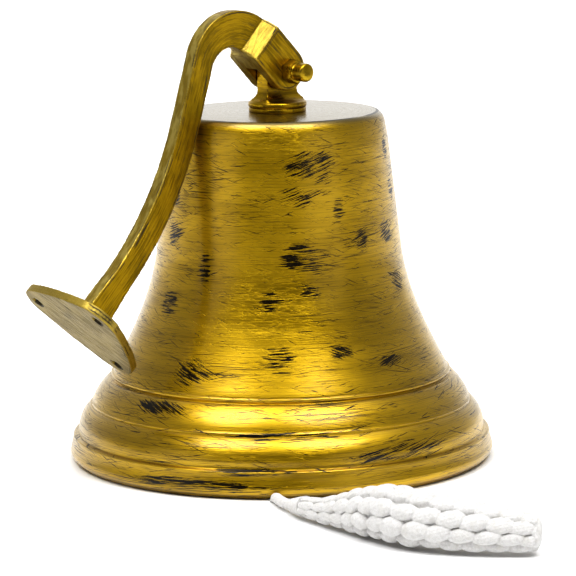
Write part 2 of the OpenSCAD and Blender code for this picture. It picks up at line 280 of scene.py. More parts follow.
def strokes(g, round_, height, slope, length, thick, low, high, seed, lift=0.0):
    """Short strokes that run round the bell on a slope, 1 inside a stroke and denser under lift."""
    slid = g.math("MULTIPLY_ADD", round_, -slope, height)
    where = g.vector(g.math("MULTIPLY", round_, 1 / length), g.math("MULTIPLY", slid, 1 / thick), seed)
    return g.ease(g.math("ADD", g.noise(where, 1.0, 3.0, 0.62, 0.25), lift), low, high)


def scuff_patches(g, bearing, height):
    """How far inside a patch of scuffs a point is, from 0 to 1, for each way the strokes run."""
    at = g.vector(g.math("MULTIPLY", bearing, 180 / math.pi), g.math("MULTIPLY", height, 1000.0))
    patches = {}
    for bearing_deg, z_mm, long_mm, high_mm, way in SCUFF_PATCHES:
        wide = math.degrees(long_mm * MM / WALL_MEAN_R)
        off = g.add("ShaderNodeVectorMath", {0: at, 1: (bearing_deg, z_mm, 0)}, operation="SUBTRACT")
        scaled = g.add("ShaderNodeVectorMath", {0: off, 1: (1 / wide, 1 / high_mm, 0)},
                       operation="MULTIPLY")
        far = g.add("ShaderNodeVectorMath", {0: scaled}, out="Value", operation="LENGTH")
        inside = g.ease(far, 0.35, 1.15, 1.0, 0.0)
        patches[way] = g.math("MAXIMUM", patches[way], inside) if way in patches else inside
    return patches


def scuffs(g, bearing, round_, height, ragged):
    """Black strokes: dense inside the patches, and a few loose ones all over the wall."""
    black = None
    for seed, (way, patch) in enumerate(scuff_patches(g, bearing, height).items()):
        lift = g.math("MULTIPLY", g.math("ADD", patch, g.math("MULTIPLY", ragged, 1.2)), 0.155)
        marks = strokes(g, round_, height, SLOPES[way], 0.0160, 0.0009, 0.645, 0.69, 3.0 + seed, lift)
        fine = strokes(g, round_, height, SLOPES[way], 0.0110, 0.0005, 0.655, 0.70, 53.0 + seed, lift)
        marks = g.math("MAXIMUM", marks, fine)
        black = g.math("MAXIMUM", black, marks) if black else marks
    loose_at = g.vector(g.math("MULTIPLY", round_, 26.0), g.math("MULTIPLY", height, 60.0), 2.0)
    loose_patch = g.ease(g.noise(loose_at, 1.0, 2.0, 0.5), 0.40, 0.58)
    for seed, slope, length, thick in ((11.0, 0.10, 0.022, 0.0007), (17.0, -0.22, 0.020, 0.0007),
                                       (23.0, 0.02, 0.034, 0.0006)):
        marks = strokes(g, round_, height, slope, length, thick, 0.58, 0.65, seed)
        marks = g.math("MULTIPLY", g.math("MULTIPLY", marks, loose_patch), 0.8)
        black = g.math("MAXIMUM", black, marks)
    return black


def crown_edge(g, reach, height, ragged):
    """A broken black line where the flat crown ends, painted as the shade of a crease there."""
    edge_off = g.math("ABSOLUTE", g.math("SUBTRACT", reach, CROWN_EDGE_R))
    edge_line = g.math("MULTIPLY", g.ease(edge_off, 0.0004, 0.0009, 0.9, 0.0),
                       g.ease(ragged, -0.12, 0.02))
    on_crown = g.ease(g.math("SUBTRACT", CROWN_Z, height), 0.0005, 0.0015, 1.0, 0.0)
    return g.math("MULTIPLY", edge_line, on_crown)


def bell_brass():
    """Lacquered gold with hairlines round it: rings on the crown, and black scuffs on the wall."""
    g = Graph("bell_brass")
    bearing, height = round_the_axis(g)
    round_ = g.math("MULTIPLY", bearing, WALL_MEAN_R)
    flat = g.add("ShaderNodeVectorMath", {0: g.place(), 1: (1, 1, 0)}, operation="MULTIPLY")
    reach = g.add("ShaderNodeVectorMath", {0: flat}, out="Value", operation="LENGTH")
    down = g.math("SUBTRACT", height, reach)      # down the wall, and outwards on the crown
    on_wall = g.ease(g.math("SUBTRACT", CROWN_Z, height), 0.0005, 0.003)
    off_seam = g.ease(g.math("ABSOLUTE", bearing), 2.9, 3.12, 1.0, 0.0)

    ragged_at = g.vector(g.math("MULTIPLY", round_, 55.0), g.math("MULTIPLY", height, 420.0), 31.0)
    ragged = g.math("SUBTRACT", g.noise(ragged_at, 1.0, 3.0, 0.6), 0.5)
    black = scuffs(g, bearing, round_, height, ragged)
    black = g.math("MULTIPLY", g.math("MULTIPLY", black, off_seam), on_wall)
    # Painted shade: a dark line along the crown's edge.
    black = g.math("MAXIMUM", black, crown_edge(g, reach, height, ragged))

    hair_at = g.vector(g.math("MULTIPLY", round_, 30.0), g.math("MULTIPLY", down, 1900.0), 5.0)
    hair = g.noise(hair_at, 1.0, 4.0, 0.65)
    cloud_at = g.vector(g.math("MULTIPLY", round_, 16.0), g.math("MULTIPLY", down, 60.0), 9.0)
    cloud = g.noise(cloud_at, 1.0, 3.0, 0.55)
    gold = g.mix(g.ease(cloud, 0.35, 0.68), rgb(0.56, 0.350, 0.010), rgb(0.41, 0.252, 0.003))
    hair_dark = g.math("MULTIPLY", g.ease(hair, 0.48, 0.68, 0.0, 0.9),
                       g.ease(cloud, 0.30, 0.60, 0.35, 1.0))
    # The crown's brass is painted darker, as shade that tones down its bright reflections.
    gold = g.mix(on_wall, rgb(0.21, 0.155, 0.045), gold)
    gold = g.mix(g.math("MULTIPLY", hair_dark, g.math("MULTIPLY_ADD", on_wall, 0.8, 0.2)),
                 gold, rgb(0.12, 0.076, 0.002))
    polish = g.math("MULTIPLY_ADD", on_wall, 0.06, -0.06)
    rough = g.math("ADD", g.ease(hair, 0.3, 0.8, 0.29, 0.44), g.math("MULTIPLY", black, 0.3))
    g.set(Base_Color=g.mix(black, gold, BLACK_PATINA_AND_SHADE), Metallic=1.0,
          Roughness=g.math("ADD", rough, polish),
          Normal=g.bump(g.math("SUBTRACT", hair, g.math("MULTIPLY", black, 0.8)), 0.30, 0.00025))
    g.shader.inputs["Coat Weight"].default_value = 0.55
    g.shader.inputs["Coat Roughness"].default_value = 0.16
    return g.material


def plain_brass(name, light, dark, rough, grain, bump=0.3):
    """Machined or dull brass, with grain as the size in metres of its mottling along X, Y and Z."""
    g = Graph(name)
    scaled = g.add("ShaderNodeVectorMath", {0: g.place(), 1: [1 / s for s in grain]}, operation="MULTIPLY")
    fine = g.noise(scaled, 1.0, 4.0, 0.6)
    cloud = g.noise(g.place(), 90.0, 3.0, 0.5)
    spots = g.ease(g.noise(g.place(), 420.0, 3.0, 0.6), 0.60, 0.70)
    tone = g.mix(g.ease(g.math("ADD", g.math("MULTIPLY", fine, 0.6), g.math("MULTIPLY", cloud, 0.4)),
                        0.38, 0.64), light, dark)
    g.set(Base_Color=g.mix(g.math("MULTIPLY", spots, 0.55), tone, BLACK_PATINA_AND_SHADE),
          Metallic=g.math("MULTIPLY_ADD", spots, -0.4, 1.0),
          Roughness=g.ease(fine, 0.3, 0.7, rough - 0.06, rough + 0.08),
          Normal=g.bump(fine, bump, 0.0002))
    return g.material


def filed_brass(name, light, dark, rubbed_and_lit, along, across, rough):
    """Cast brass that was filed by hand: streaks along its length, painted shade in its corners, and worn bright
    edges.

    The mesh carries "run", the place along and across the piece; the surface's bend, which is over
    0.5 on outer edges, where bright metal is worn, and under it in corners, where shade is painted;
    and the share of bare bright metal, which on the arm's outer side is painted light as well.
    """
    g = Graph(name)
    run = g.attribute("run")
    wear_and_shade = g.split(g.attribute("wear_and_shade"))[0]
    where = g.add("ShaderNodeVectorMath", {0: run, 1: (1 / along, 1 / across, 1 / across)},
                  operation="MULTIPLY")
    streak = g.noise(where, 1.0, 4.0, 0.65)
    cloud = g.noise(g.place(), 75.0, 3.0, 0.55)
    dark_streak = g.ease(g.noise(where, 0.45, 3.0, 0.7, 0.3), 0.585, 0.66)
    tone = g.mix(g.ease(g.math("ADD", g.math("MULTIPLY", streak, 0.6), g.math("MULTIPLY", cloud, 0.4)),
                        0.40, 0.62), light, dark)
    # Painted shade in corners and in the wall plate's holes.
    corner_shade = g.ease(wear_and_shade, 0.40, 0.30)
    edge = g.ease(wear_and_shade, 0.60, 0.75)
    beside = g.math("MULTIPLY", g.ease(wear_and_shade, 0.515, 0.54), g.ease(wear_and_shade, 0.63, 0.57))
    long_run = g.add("ShaderNodeVectorMath", {0: run, 1: (90.0, 25.0, 25.0)}, operation="MULTIPLY")
    broken = g.ease(g.noise(long_run, 1.0, 3.0, 0.6), 0.46, 0.60)
    bright = g.split(g.attribute("rubbed_and_lit"))[0]
    dark_streak = g.math("MULTIPLY", dark_streak, g.ease(bright, 0.02, 0.25, 1.0, 0.0))
    black = g.math("MAXIMUM", g.math("MULTIPLY", dark_streak, g.ease(cloud, 0.44, 0.58)), corner_shade)
    black = g.math("MAXIMUM", black, g.math("MULTIPLY", beside, broken))
    # Bare metal, with painted light on the arm's outer side.
    tone = g.mix(bright, tone, rubbed_and_lit)
    tone = g.mix(g.math("MULTIPLY", edge, 0.3), tone, rubbed_and_lit)
    g.set(Base_Color=g.mix(g.math("MULTIPLY", black, 0.9), tone, BLACK_PATINA_AND_SHADE),
          Metallic=g.math("MULTIPLY_ADD", black, -0.6, 1.0),
          Roughness=g.math("ADD", g.ease(streak, 0.3, 0.7, rough - 0.07, rough + 0.1),
                           g.math("MULTIPLY", black, 0.2)),
          Normal=g.bump(streak, 0.5, 0.0003))
    return g.material


def cotton():
    g = Graph("cotton")
    place = g.place()
    fibre = g.noise(place, 900.0, 5.0, 0.7, 0.6)
    tuft = g.noise(place, 180.0, 3.0, 0.6)
    tone = g.mix(g.ease(fibre, 0.3, 0.7), rgb(0.72, 0.71, 0.70), rgb(0.58, 0.57, 0.555))
    tone = g.mix(g.ease(tuft, 0.52, 0.72, 0.0, 0.35), tone, rgb(0.56, 0.54, 0.49))
    height = g.math("ADD", fibre, g.math("MULTIPLY", tuft, 1.5))
    g.set(Base_Color=tone, Roughness=0.92, Normal=g.bump(height, 0.7, 0.0006))
    g.shader.inputs["Sheen Weight"].default_value = 0.3
    g.shader.inputs["Sheen Roughness"].default_value = 0.5
    g.shader.inputs["Subsurface Weight"].default_value = 0.15
    g.shader.inputs["Subsurface Radius"].default_value = (0.004, 0.004, 0.0035)
    g.shader.inputs["Subsurface Scale"].default_value = 0.5
    return g.material


materials = {
    "bell_brass": bell_brass(),
    "turned_brass": plain_brass("turned_brass", rgb(0.50, 0.315, 0.012), rgb(0.26, 0.160, 0.010), 0.30,
                                (0.02, 0.02, 0.0012)),
    "bracket_brass": filed_brass("bracket_brass", rgb(0.37, 0.232, 0.008), rgb(0.17, 0.108, 0.005),
                                 rgb(0.60, 0.47, 0.12), 0.014, 0.0007, 0.34),
    "plate_brass": filed_brass("plate_brass", rgb(0.27, 0.205, 0.062), rgb(0.15, 0.11, 0.026),
                               rgb(0.55, 0.40, 0.06), 0.012, 0.0010, 0.44),
    "bolt_brass": plain_brass("bolt_brass", rgb(0.46, 0.31, 0.020), rgb(0.30, 0.19, 0.012), 0.30,
                              (0.004, 0.004, 0.004), 0.15),
    "inner_brass": plain_brass("inner_brass", rgb(0.46, 0.32, 0.06), rgb(0.24, 0.16, 0.03), 0.42,
                               (0.006, 0.006, 0.003)),
    "cotton": cotton(),
}

# ---- Mesh helpers ------------------------------------------------------------------


def piece(name, verts, faces, body, node=None, smooth_deg=35.0):
    """A new mesh piece on a body, which takes the place and finish of a CAD node."""
    mesh = bpy.data.meshes.new(name)
    mesh.from_pydata([tuple(v) for v in verts], [], faces)
    mesh.validate()
    bm = bmesh.new()
    bm.from_mesh(mesh)
    bmesh.ops.recalc_face_normals(bm, faces=bm.faces)
    bm.to_mesh(mesh)
    bm.free()
    obj = bpy.data.objects.new(name, mesh)
    bpy.context.scene.collection.objects.link(obj)
    dress(obj, body, node, smooth_deg)
    return obj


def dress(obj, body, node, smooth_deg=35.0):
    """Shades, paints and attaches a piece that stands for a CAD node."""
    obj.data.shade_smooth()
    obj.data.set_sharp_from_angle(angle=math.radians(smooth_deg))
    obj.data.materials.clear()
    obj.data.materials.append(materials[SLOTS[node]])
    if body:
        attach(obj, body)
    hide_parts(node)


def copy_of(node, name):
    """A free copy of a CAD node's mesh with its doubled corners merged and flat faces joined."""
    mesh = nodes[node].data.copy()
    mesh.name = name
    bm = bmesh.new()
    bm.from_mesh(mesh)
    bmesh.ops.remove_doubles(bm, verts=bm.verts, dist=1e-6)
    bmesh.ops.dissolve_limit(bm, angle_limit=math.radians(0.5), verts=bm.verts, edges=bm.edges)
    bm.to_mesh(mesh)
    bm.free()
    obj = bpy.data.objects.new(name, mesh)
    bpy.context.scene.collection.objects.link(obj)
    return obj


def apply_modifiers(obj):
    bpy.context.view_layer.update()
    done = bpy.data.meshes.new_from_object(obj.evaluated_get(bpy.context.evaluated_depsgraph_get()))
    obj.modifiers.clear()
    obj.data = done


def bevelled(node, name, body, width, segments=3, limit_deg=25.0):
    """A machined piece: the CAD node with its edges broken."""
    obj = copy_of(node, name)
    bevel = obj.modifiers.new("edges", "BEVEL")
    bevel.width, bevel.segments = width, segments
    bevel.limit_method, bevel.angle_limit = "ANGLE", math.radians(limit_deg)
    bevel.miter_outer = "MITER_ARC"
    apply_modifiers(obj)
    dress(obj, body, node)
    return obj


def cast(node, name, body, voxel, rounds, ripple, along, rubbed_and_lit=None):
    """A cast and hand-filed piece: edges rounded over and a surface that is never quite flat.

    along is a function from points to their "run", the place along and across the piece, and
    rubbed one from points and normals to the share of bare bright metal.
    """
    obj = copy_of(node, name)
    remesh = obj.modifiers.new("skin", "REMESH")
    remesh.mode, remesh.voxel_size = "VOXEL", voxel
    smooth = obj.modifiers.new("edges", "SMOOTH")
    smooth.factor, smooth.iterations = 0.5, rounds
    apply_modifiers(obj)
    mesh = obj.data
    count = len(mesh.vertices)
    co = np.empty(count * 3)
    mesh.vertices.foreach_get("co", co)
    co = co.reshape(-1, 3)
    normal = np.empty(count * 3)
    mesh.vertices.foreach_get("normal", normal)
    normal = normal.reshape(-1, 3)
    edges = np.empty(len(mesh.edges) * 2, int)
    mesh.edges.foreach_get("vertices", edges)
    edges = edges.reshape(-1, 2)
    wear_and_shade = bend_of_surface(co, normal, edges, voxel)
    # Painted shade: the plate's holes are dark all the way through.
    if node == "wall_plate":      # its holes are dark all the way through
        wear_and_shade = np.where(in_holes(co), 0.0, wear_and_shade)
    wave = np.array([noise.fractal(Vector(p) * 110, 1.0, 2.0, 3) for p in co])
    co = co + normal * (wave * ripple)[:, None]
    mesh.vertices.foreach_set("co", co.ravel())
    store(mesh, "run", along(co))
    store(mesh, "wear_and_shade", np.stack([wear_and_shade] * 3, 1))
    bare = rubbed_and_lit(co, normal) if rubbed_and_lit else np.zeros(count)
    store(mesh, "rubbed_and_lit", np.stack([bare] * 3, 1))
    mesh.update()
    dress(obj, body, node, 60.0)
    return obj


def bend_of_surface(co, normal, edges, voxel):
    """0.5 on flat ground, over it on outer edges and under it in corners, spread over a few voxels."""
    count = len(co)
    degree = np.bincount(edges.ravel(), minlength=count).clip(1)

    def average(values):
        total = np.zeros_like(values)
        np.add.at(total, edges[:, 0], values[edges[:, 1]])
        np.add.at(total, edges[:, 1], values[edges[:, 0]])
        return total / (degree[:, None] if values.ndim > 1 else degree)

    flat = co
    for _ in range(6):
        flat = average(flat)
    bend = ((co - flat) * normal).sum(1) / voxel
    for _ in range(2):
        bend = average(bend)
    return np.clip(0.5 + bend * 0.5, 0, 1)


def store(mesh, name, values):
    """Keeps a vector for every vertex, which a material reads by name."""
    layer = mesh.attributes.new(name, "FLOAT_VECTOR", "POINT")
    layer.data.foreach_set("vector", np.ascontiguousarray(values, np.float32).ravel())


def lathe(name, profile, body, node, turns=256, close=False):
    """A turned piece about the bell's axis from (radius, height) points in metres."""
    verts, faces = [], []
    for i in range(turns):
        a = 2 * math.pi * i / turns
        verts += [(r * math.cos(a), r * math.sin(a), z) for r, z in profile]
    n = len(profile)
    for i in range(turns):
        j = (i + 1) % turns
        for k in range(n if close else n - 1):
            m = (k + 1) % n
            faces.append((i * n + k, j * n + k, j * n + m, i * n + m))
    return piece(name, verts, faces, body, node, 32.0)


# ---- Bell --------------------------------------------------------------------------


def arc(centre, radius, start, stop, steps):
    return [(centre[0] + radius * math.cos(math.radians(start + (stop - start) * i / steps)),
             centre[1] + radius * math.sin(math.radians(start + (stop - start) * i / steps)))
            for i in range(steps + 1)]


def bezier(a, b, c, d, steps):
    points = []
    for i in range(steps + 1):
        t = i / steps
        s = 1 - t
        points.append(tuple(s**3 * a[k] + 3 * s * s * t * b[k] + 3 * s * t * t * c[k] + t**3 * d[k]
                            for k in (0, 1)))
    return points


def bulge(a, b, out, steps):
    """A curve from a to b that bulges outwards by out."""
    length = math.hypot(b[0] - a[0], b[1] - a[1])
    side = ((b[1] - a[1]) / length, -(b[0] - a[0]) / length)
    return [(a[0] + (b[0] - a[0]) * t + side[0] * out * 4 * t * (1 - t),
             a[1] + (b[1] - a[1]) * t + side[1] * out * 4 * t * (1 - t))
            for t in (i / steps for i in range(steps + 1))]


def make_bell():
    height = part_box("bell_shell")[1].z / MM
    shoulder_r, crown_r, crown_t, wall = 51.8, 47.9, 6.0, 5.0
    bore_r, band_z, line_z, bead_z = 5.2, 12.6, 27.0, 41.5
    fillet = shoulder_r - crown_r
    outside = (
        [(94.4, 0.0), (98.6, 0.0)] + arc((97.5, 4.5), 4.0, -60, 20, 10)
        + [(99.95, band_z - 1.2)] + arc((99.2, band_z - 0.9), 0.8, 10, 90, 4)
        + [(97.9, band_z + 0.15)] + arc((97.9, band_z + 0.5), 0.35, 250, 180, 3)
        + bulge((97.35, band_z + 1.4), (91.7, line_z - 0.6), 1.6, 16)
        + arc((91.2, line_z - 0.1), 0.35, -60, -170, 3) + arc((90.9, line_z + 0.7), 0.3, 190, 100, 3)
        + bulge((90.6, line_z + 1.2), (82.4, bead_z - 1.9), 0.9, 14)
        + arc((81.4, bead_z - 1.35), 0.45, -60, -170, 3)
        + arc((80.3, bead_z), 1.1, -45, 50, 7) + arc((80.55, bead_z + 1.25), 0.35, 250, 170, 3)
        + bezier((80.0, bead_z + 1.8), (68.2, 65.5), (61.8, 80.0), (58.7, 99.0), 40)
        + [(58.7 + (shoulder_r - 58.7) * t, 99.0 + (height - 7.0 - 99.0) * t)
           for t in (i / 14 for i in range(1, 14))]
        + [(crown_r - 1.0 + 4.6 * math.cos(a), height - 8.5 + 8.5 * math.sin(a))
           for a in (math.radians(25 + 65 * i / 16) for i in range(17))]
        + [(bore_r + 0.4, height), (bore_r, height - 0.4)])
    inside = (
        [(bore_r, height - crown_t + 0.4), (bore_r + 0.4, height - crown_t)]
        + arc((crown_r - wall, height - crown_t - fillet), fillet, 90, 4, 10)
        + [(53.7 + (shoulder_r - wall - 53.7) * t, 99.0 + (height - 10 - 99.0) * t)
           for t in (1 - i / 12 for i in range(1, 12))]
        + bezier((53.7, 99.0), (56.7, 80.0), (62.9, 64.0), (74.0, bead_z + 1.6), 36)
        + [(84.4, line_z), (90.0, band_z), (91.5, 6.0), (93.6, 0.8)])
    profile = [(r * MM, z * MM) for r, z in outside + inside]
    lathe("bell", profile, "bell", "bell_shell", 320, close=True)


make_bell()

# ---- Bracket -----------------------------------------------------------------------

BOLT_Z = joints["bracket_hinge"]["pos_m"][2]
TAB_HEADING, FOOT_HEADING, PLATE_SKEW = 135.0, 225.0, 5.0      # degrees
# The ramps on which the clevis narrows to the flat arm, measured from the bolt: where the file
# ran across, and where bare metal shows. The arm is flat inside RAMP_HALF of its middle.
RAMP_FROM, RAMP_TO, BARE_FROM, BARE_TO, RAMP_HALF = (v * MM for v in (19.9, 26.4, 19.5, 26.8, 3.5))
HOLE_RING_R, HOLE_R = 27 * MM, 2.75 * MM       # of the wall plate's screw holes


def arm_line():
    """The arm's middle line in the X and Z plane from the bolt to the foot, with its headings."""
    tab, arch_r, shank, bend_r, foot = (v * MM for v in (22.3, 19.6, 31.0, 167.0, 26.5))
    place, heading = Vector((0, BOLT_Z)), TAB_HEADING
    points = [(place.copy(), heading)]
    steps = 12
    for length, radius, turn in ((tab, 0, 0), (0, arch_r, 117), (shank, 0, 0), (0, bend_r, -27),
                                 (foot, 0, 0)):
        for _ in range(steps):
            if radius:
                heading += turn / steps
                length_now = radius * math.radians(abs(turn)) / steps
            else:
                length_now = length / steps
            a = math.radians(heading)
            place += Vector((math.cos(a), math.sin(a))) * length_now
            points.append((place.copy(), heading))
    return points


def along_arm(co):
    """Each point's distance along the arm, distance from its middle line, and place across it."""
    line = arm_line()
    at = np.array([p[0][:] for p in line])
    head = np.radians([p[1] for p in line])
    gone = np.concatenate([[0], np.cumsum(np.linalg.norm(np.diff(at, axis=0), axis=1))])
    flat = co[:, [0, 2]]
    near = ((flat[:, None] - at[None]) ** 2).sum(2).argmin(1)
    off = flat - at[near]
    ahead = off[:, 0] * np.cos(head[near]) + off[:, 1] * np.sin(head[near])
    side = -off[:, 0] * np.sin(head[near]) + off[:, 1] * np.cos(head[near])
    run = np.stack([gone[near] + ahead, side, co[:, 1]], 1)
    ramp = on_ramp(run)
    run[ramp] = run[ramp][:, [1, 0, 2]]
    run[ramp, 2] = 0
    return run


def on_ramp(run):
    """Where the clevis narrows to the flat arm: it was filed across, not along."""
    return (run[:, 0] > RAMP_FROM) & (run[:, 0] < RAMP_TO) & (np.abs(run[:, 2]) > RAMP_HALF)


def arm_rubbed_and_lit(co, normal):
    """Bare metal on the ramps and, in smears, on the arm's narrow outer side, which is also painted lighter as
    light falling on that side.
    """
    ramp = (np.abs(normal[:, 1]) > 0.35) & (np.abs(normal[:, 1]) < 0.93)
    tab_ahead = np.array([math.cos(math.radians(TAB_HEADING)), math.sin(math.radians(TAB_HEADING))])
    tab = (co[:, [0, 2]] - np.array([0, BOLT_Z])) @ tab_ahead
    ramp &= (tab > BARE_FROM) & (tab < BARE_TO)
    # The outer side, picked by the way it faces, is painted lighter as light falls on it, in smears of bare metal.
    outer = (np.abs(normal[:, 1]) < 0.3) & (normal[:, 0] < -0.3)
    smear = np.array([noise.fractal(Vector((p[0] * 160, p[1] * 400, p[2] * 160)), 1.0, 2.0, 3)
                      for p in co])
    smear = np.clip(0.5 + smear * 1.6, 0, 1)
    return np.where(ramp, 0.3, np.where(outer, 0.25 + 0.6 * smear, 0.0))


def plate_place():
    """The frame of the wall plate's back, with Z pointing out towards the wall."""
    foot = arm_line()[-1][0]
    return (Matrix.Translation((foot.x, 0, foot.y))
            @ Matrix.Rotation(math.radians(90 - FOOT_HEADING), 4, "Y")
            @ Matrix.Rotation(math.radians(-PLATE_SKEW), 4, "X"))


def in_holes(co):
    """Which points lie on the walls of the wall plate's three screw holes."""
    into = np.array(plate_place().inverted())
    local = co @ into[:3, :3].T + into[:3, 3]
    inside = np.zeros(len(co), bool)
    for a in (60, 180, 300):
        x, y = (HOLE_RING_R * f(math.radians(a)) for f in (math.cos, math.sin))
        inside |= np.hypot(local[:, 0] - x, local[:, 1] - y) < HOLE_R
    return inside


def plate_rubbed(co, normal):
    """The rim of the wall plate is bare bright metal; its holes, painted dark as shade, get none of it."""
    out = np.array([math.cos(math.radians(FOOT_HEADING)), 0, math.sin(math.radians(FOOT_HEADING))])
    rim = np.clip((0.75 - np.abs(normal @ out)) * 4, 0, 1) * 0.45
    return np.where(in_holes(co), 0.0, rim)


def along_plate(co):
    """Grain that runs down the wall plate's face and round its rim."""
    slope = math.radians(FOOT_HEADING)
    down = co[:, 0] * math.sin(slope) - co[:, 2] * math.cos(slope)
    out = co[:, 0] * math.cos(slope) + co[:, 2] * math.sin(slope)
    return np.stack([down * 0.8 + co[:, 1] * 0.6, co[:, 1] * 0.8 - down * 0.6, out], 1)


cast("bracket_arm", "arm", "bracket", 0.0004, 2, 0.00012, along_arm, arm_rubbed_and_lit)
cast("wall_plate", "plate", "bracket", 0.0004, 2, 0.00015, along_plate, plate_rubbed)
bevelled("hinge_bolt", "bolt", "bracket", 0.0003)
bevelled("cap_nut", "nut", "bracket", 0.0002)

# ---- Hanger and what is under the crown ---------------------------------------------


def along_up(co):
    return np.stack([co[:, 2], co[:, 0], co[:, 1]], 1)


cast("crown_hanger", "hanger", "bell", 0.00045, 3, 0.00006, along_up)
bevelled("crown_washer", "ring", "bell", 0.0003)
bevelled("inner_washer", "under_ring", "bell", 0.0003)
bevelled("hanger_nut", "jam_nut", "bell", 0.0002)
bevelled("clapper_eye", "eye", "bell", 0.0006)
bevelled("clapper_rod", "rod", "clapper", 0.0006)
bevelled("clapper_ball", "ball", "clapper", 0.0003)
bevelled("clapper_pin", "pin", "clapper", 0.0003)

# ---- Lanyard -----------------------------------------------------------------------

NECK_ROUTE = [(0, -3.4, 10.5), (0, -5, 10.5), (-1.5, -11, 9), (-6, -20, 5.5), (-14, -28, 3),
              (-25, -36, 2.6), (-37, -45, 2.6), (-49, -54, 2.6), (-59, -62, 2.6), (-68, -70.5, 2.6),
              (-74.5, -79.5, 2.6), (-79, -89, 2.8), (-82, -98.5, 3.6)]
WHIP_MID = (-83.7, -104.5, 4.5)
BODY_ROUTE = [(-85.2, -110.5, 5.4), (-86, -120, 5.9), (-86.8, -131, 7.2), (-87.3, -142, 9.1),
              (-87.8, -153, 11.1), (-88.4, -164, 12.6), (-88.3, -174.5, 13.1), (-87, -184, 12.9),
              (-84.3, -192.3, 12.5), (-80.6, -200, 12), (-76.3, -207.2, 11.4), (-71.3, -214, 10.7),
              (-65.6, -220.5, 9.8), (-59.5, -226.7, 8.8)]
END_REACH = (2.6, -2.6, -0.2)
THIN_R, FULL_R, END_R = 4.8, 12.6, 8.0      # of the braid, where it starts, is fullest and ends
CORD_R, TAIL_CORD_R = 2.5, 2.4              # of the neck, and of its end in the clapper's tail eye
REST_Z = 0.0003                             # the lowest that the braid lies
COTTON_SMOOTH = 80.0                        # degrees, so that only the cut ends show an edge


def smooth_route(points, per_span):
    """A smooth line through points given in millimetres, as vectors in metres."""
    p = [Vector(q) * MM for q in points]
    p = [p[0] * 2 - p[1]] + p + [p[-1] * 2 - p[-2]]
    line = []
    for i in range(1, len(p) - 2):
        for k in range(per_span):
            t = k / per_span
            line.append(0.5 * (2 * p[i] + (p[i + 1] - p[i - 1]) * t
                        + (2 * p[i - 1] - 5 * p[i] + 4 * p[i + 1] - p[i + 2]) * t * t
                        + (3 * p[i] - p[i - 1] - 3 * p[i + 1] + p[i + 2]) * t**3))
    line.append(p[-2])
    return line


def length_of(line):
    return sum((b - a).length for a, b in zip(line, line[1:]))


def frames_of(line):
    """(place, side, up) along a line, without twist."""
    out = []
    for i, place in enumerate(line):
        ahead = (line[min(i + 1, len(line) - 1)] - line[max(i - 1, 0)]).normalized()
        side = ahead.cross(Vector((0, 0, 1))).normalized()
        out.append((place, side, side.cross(ahead)))
    return out


def tube_faces(rings, sides):
    """Faces of a tube whose vertices go ring by ring, with both ends closed."""
    faces = []
    for i in range(rings - 1):
        for k in range(sides):
            m = (k + 1) % sides
            faces.append((i * sides + k, i * sides + m, (i + 1) * sides + m, (i + 1) * sides + k))
    faces.append(tuple(range(sides - 1, -1, -1)))
    faces.append(tuple((rings - 1) * sides + k for k in range(sides)))
    return faces


def swept(line, radius_at, sides, squeeze=lambda p: p):
    """Closed tube: radius_at(length so far, angle, share of the way) gives its radius in metres."""
    verts = []
    gone, total = 0.0, length_of(line)
    for i, (place, side, up) in enumerate(frames_of(line)):
        gone += (line[i] - line[i - 1]).length if i else 0.0
        for k in range(sides):
            a = 2 * math.pi * k / sides
            r = radius_at(gone, a, gone / total)
            verts.append(squeeze(place + (side * math.cos(a) + up * math.sin(a)) * r))
    return verts, tube_faces(len(line), sides)


# The cord under the rim: its top and thickness there, and how thick it is where it lies loose.
PRESSED_TOP, PRESSED_THICK, LOOSE_THICK = -0.0001, 0.0005, 0.0051


def under_rim(p):
    """Presses the cord flat between the table and the rim that stands on it."""
    reach = math.hypot(p.x, p.y)
    rim_mid, rim_half, fade = 0.0975, 0.0045, 0.006
    t = 1 - min(1, max(0, (abs(reach - rim_mid) - rim_half) / fade))
    press = t * t * (3 - 2 * t)
    pressed = PRESSED_TOP - PRESSED_THICK * (1 - p.z / LOOSE_THICK)
    return Vector((p.x, p.y, p.z + (pressed - p.z) * press))


def make_neck():
    """Three strands of cotton laid up, pinched flat under the bell's rim."""
    line = smooth_route(NECK_ROUTE, 16)
    strands, lay = 3, 0.012

    def radius(gone, a, _):
        ridge = math.cos(strands * a - 2 * math.pi * gone / (lay / strands))
        return CORD_R * MM * (0.93 + 0.10 * ridge - 0.05 * ridge * ridge)

    verts, faces = swept(line, radius, 30, under_rim)
    neck = piece("neck", verts, faces, None, "lanyard_neck", COTTON_SMOOTH)
    make_tail_knot()
    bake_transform(neck)


def make_whipping():
    """Thin twine wound over the cone where the neck swells into the braid."""
    line = smooth_route([NECK_ROUTE[-1], WHIP_MID, BODY_ROUTE[0]], 60)
    twine, start_r, lowest = 0.0011, 3.0, 0.0002

    def radius(gone, _, share):
        core = (start_r + (THIN_R - start_r) * share) * MM
        wound = abs(math.sin(math.pi * gone / twine))
        return core - twine * 0.30 + twine * 0.42 * wound

    verts, faces = swept(line, radius, 48, lambda p: Vector((p.x, p.y, max(p.z, lowest))))
    return piece("whipping", verts, faces, "bell", "lanyard_whipping", COTTON_SMOOTH)


def braid_r(share):
    """The braid's outer radius in metres at a share of its length, as on the CAD solid."""
    rise, fall = min(1, 2 * share), max(0, 2 * share - 1)
    swell = (FULL_R - THIN_R) * rise * rise * (3 - 2 * rise)
    return (THIN_R + swell - (FULL_R - END_R) * fall**1.6) * MM


COLUMNS = 8                             # columns of knuckles round the braid
KNUCKLE_PITCH = 0.0096                  # along a column
KNUCKLE_LEAN = math.radians(31)
KNUCKLE_LONG, KNUCKLE_SHORT = 0.70, 0.53      # half lengths, as shares of the pitch
RELIEF = 0.31                           # depth of the gaps, as a share of the braid's radius


